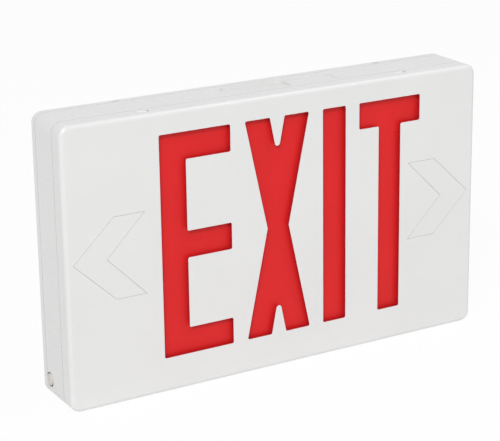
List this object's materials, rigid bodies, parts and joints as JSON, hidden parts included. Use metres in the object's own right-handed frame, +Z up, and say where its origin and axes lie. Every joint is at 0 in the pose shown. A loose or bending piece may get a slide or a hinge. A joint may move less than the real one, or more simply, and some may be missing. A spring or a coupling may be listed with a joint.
{
  "type": "emergency exit light",
  "caption": "Slim white emergency exit light with a red backlit legend, knock-out arrows, battery back-up and a test button on its side.",
  "frame": {"origin": "centre of the round wire entry at the back face that lies on the wall", "axes": "+Z up, +X to the right as seen from the front, the face looks along -Y"},
  "size_m": [0.3176, 0.0445, 0.1916],
  "materials": {
    "casing_white": "satin moulded thermoplastic, fine grain",
    "knockout_white": "satin moulded thermoplastic",
    "button_white": "smooth moulded plastic",
    "panel_red": "translucent diffusing sheet",
    "tray_white": "matt white reflector",
    "lamp_board_white": "white solder mask",
    "led": "clear resin over phosphor",
    "screw_steel": "zinc plated",
    "board_green": "green solder mask",
    "core_steel": "stacked laminations",
    "coil_tape": "yellow polyester tape",
    "capacitor_black": "printed sleeve left bare",
    "relay_blue": "sealed relay case",
    "film_yellow": "moulded film capacitor",
    "fuse_glass": "glass tube with metal caps",
    "clip_brass": "plated spring clips",
    "chip_black": "moulded epoxy",
    "resistor_tan": "lacquered",
    "terminal_green": "moulded nylon",
    "connector_white": "natural nylon",
    "battery_sleeve": "shrink sleeve",
    "strap_steel": "spring steel",
    "switch_black": "moulded switch case",
    "plunger_red": "moulded plunger",
    "pilot_green": "tinted resin",
    "bushing_black": "snap bushing",
    "lead_red": "insulated wire",
    "lead_black": "insulated wire",
    "lead_white": "insulated wire",
    "lead_yellow": "insulated wire"
  },
  "bodies": {
    "casing": {"faceplate": "casing_white", "chevron_left": "knockout_white", "chevron_right": "knockout_white", "red_diffuser": "panel_red", "housing": "casing_white", "rear_cover": "casing_white", "reflector_tray": "tray_white", "lamp_board_top": "lamp_board_white", "lamp_board_bottom": "lamp_board_white", "lamp_leds_top": "led", "lamp_leds_bottom": "led", "tray_screws": "screw_steel", "lamp_screws": "screw_steel", "board_screws": "screw_steel", "strap_screws": "screw_steel", "driver_board": "board_green", "transformer_core": "core_steel", "transformer_coil": "coil_tape", "filter_capacitors": "capacitor_black", "transfer_relay": "relay_blue", "film_capacitor": "film_yellow", "bridge_rectifier": "chip_black", "control_chip": "chip_black", "fuse": "fuse_glass", "fuse_clips": "clip_brass", "resistors": "resistor_tan", "terminal_block": "terminal_green", "battery_socket": "connector_white", "battery_plug": "connector_white", "battery_pack": "battery_sleeve", "battery_strap": "strap_steel", "battery_leads": "lead_red", "lamp_leads": "lead_white", "switch_leads": "lead_black", "pilot_leads": "lead_yellow", "test_switch": "switch_black", "switch_board": "board_green", "pilot_lamp": "pilot_green", "wire_bushing": "bushing_black"},
    "button": {"test_button": "button_white", "switch_plunger": "plunger_red"}
  },
  "joints": [
    {"name": "button_press", "type": "slide", "parent": "casing", "child": "button", "axis": [1, 0, 0], "range_m": [0, 0.0015], "stiffness_N_per_m": 600, "springref_m": -0.002}
  ]
}
